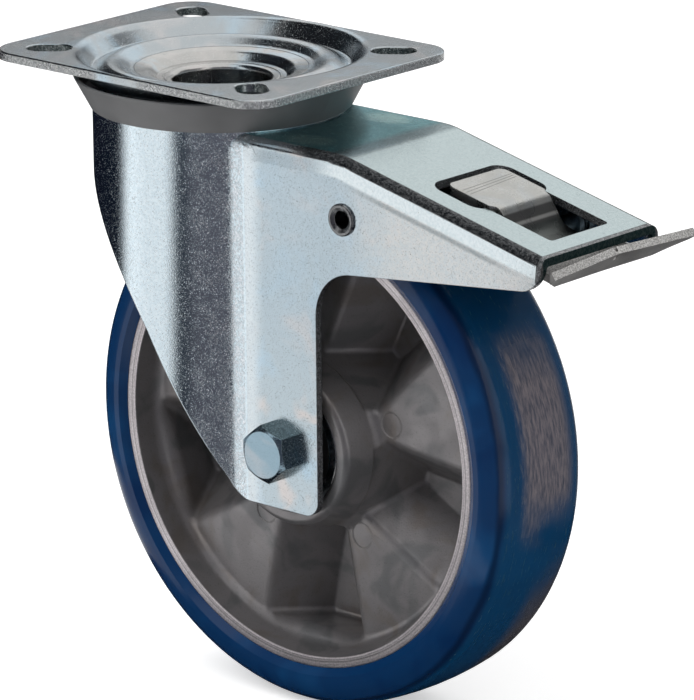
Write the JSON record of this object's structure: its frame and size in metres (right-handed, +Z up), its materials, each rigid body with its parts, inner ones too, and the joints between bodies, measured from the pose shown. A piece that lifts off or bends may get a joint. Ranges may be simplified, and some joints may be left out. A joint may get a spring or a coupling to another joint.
{
  "type": "swivel castor",
  "caption": "Swivel castor with a top plate, a pressed fork with a canopy, a blue-tyred cast wheel, and a foot pedal that locks the wheel and the swivel head.",
  "frame": {"origin": "on the swivel axis, in the top face of the mounting plate", "axes": "+Z up along the swivel axis, out of the plate's top face; +X towards the trailing wheel and the pedal; the wheel's axle lies along Y"},
  "size_m": [0.2581, 0.11, 0.235],
  "materials": {
    "zinc_steel": "blue-passivated zinc plate on pressed and turned steel",
    "pedal_steel": "zinc plate, warmer and duller than the fork",
    "bearing_steel": "ground bearing steel",
    "spring_steel": "blued spring steel",
    "rivet_steel": "black phosphated steel",
    "cast_aluminium": "grey die casting with machined rim rings",
    "blue_polyurethane": "glossy cast blue polyurethane",
    "grey_plastic": "satin moulded plastic",
    "seal_rubber": "black moulded rubber"
  },
  "bodies": {
    "plate": {"mounting_plate": "zinc_steel", "centre_washer": "zinc_steel", "king_tube": "zinc_steel", "lower_race": "zinc_steel", "lock_ring": "zinc_steel", "upper_balls": "bearing_steel", "lower_balls": "bearing_steel"},
    "swivel_fork": {"fork": "zinc_steel", "dust_seal": "grey_plastic", "axle_bolt": "zinc_steel", "axle_washer": "zinc_steel", "axle_nut": "zinc_steel", "axle_sleeve": "zinc_steel", "side_spacers": "zinc_steel", "bearing_inner_rings": "bearing_steel", "pivot_rivets": "rivet_steel", "pivot_washers": "zinc_steel", "return_spring": "spring_steel"},
    "wheel": {"wheel_centre": "cast_aluminium", "tyre": "blue_polyurethane", "bearing_outer_rings": "bearing_steel", "bearing_balls": "bearing_steel", "bearing_seals": "seal_rubber"},
    "lever": {"brake_lever": "zinc_steel", "brake_shoe": "rivet_steel", "pedal_pin": "zinc_steel"},
    "pedal": {"brake_pedal": "pedal_steel"}
  },
  "joints": [
    {"name": "swivel", "type": "hinge", "parent": "plate", "child": "swivel_fork", "pos_m": [0, 0, -0.0108], "axis": [0, 0, 1], "continuous": true},
    {"name": "wheel_spin", "type": "hinge", "parent": "swivel_fork", "child": "wheel", "pos_m": [0.055, 0, -0.135], "axis": [0, 1, 0], "continuous": true},
    {"name": "brake_lever_tilt", "type": "hinge", "parent": "swivel_fork", "child": "lever", "pos_m": [0.088, 0, -0.043], "axis": [0, 1, 0], "range_deg": [0, 4.5], "deforming": ["return_spring"]},
    {"name": "pedal_tilt", "type": "hinge", "parent": "lever", "child": "pedal", "pos_m": [0.143, 0, -0.047], "axis": [0, 1, 0], "range_deg": [0, 30]}
  ],
  "couplings": [
    {"joint": "brake_lever_tilt", "follows": "pedal_tilt", "ratio": 0.15}
  ]
}
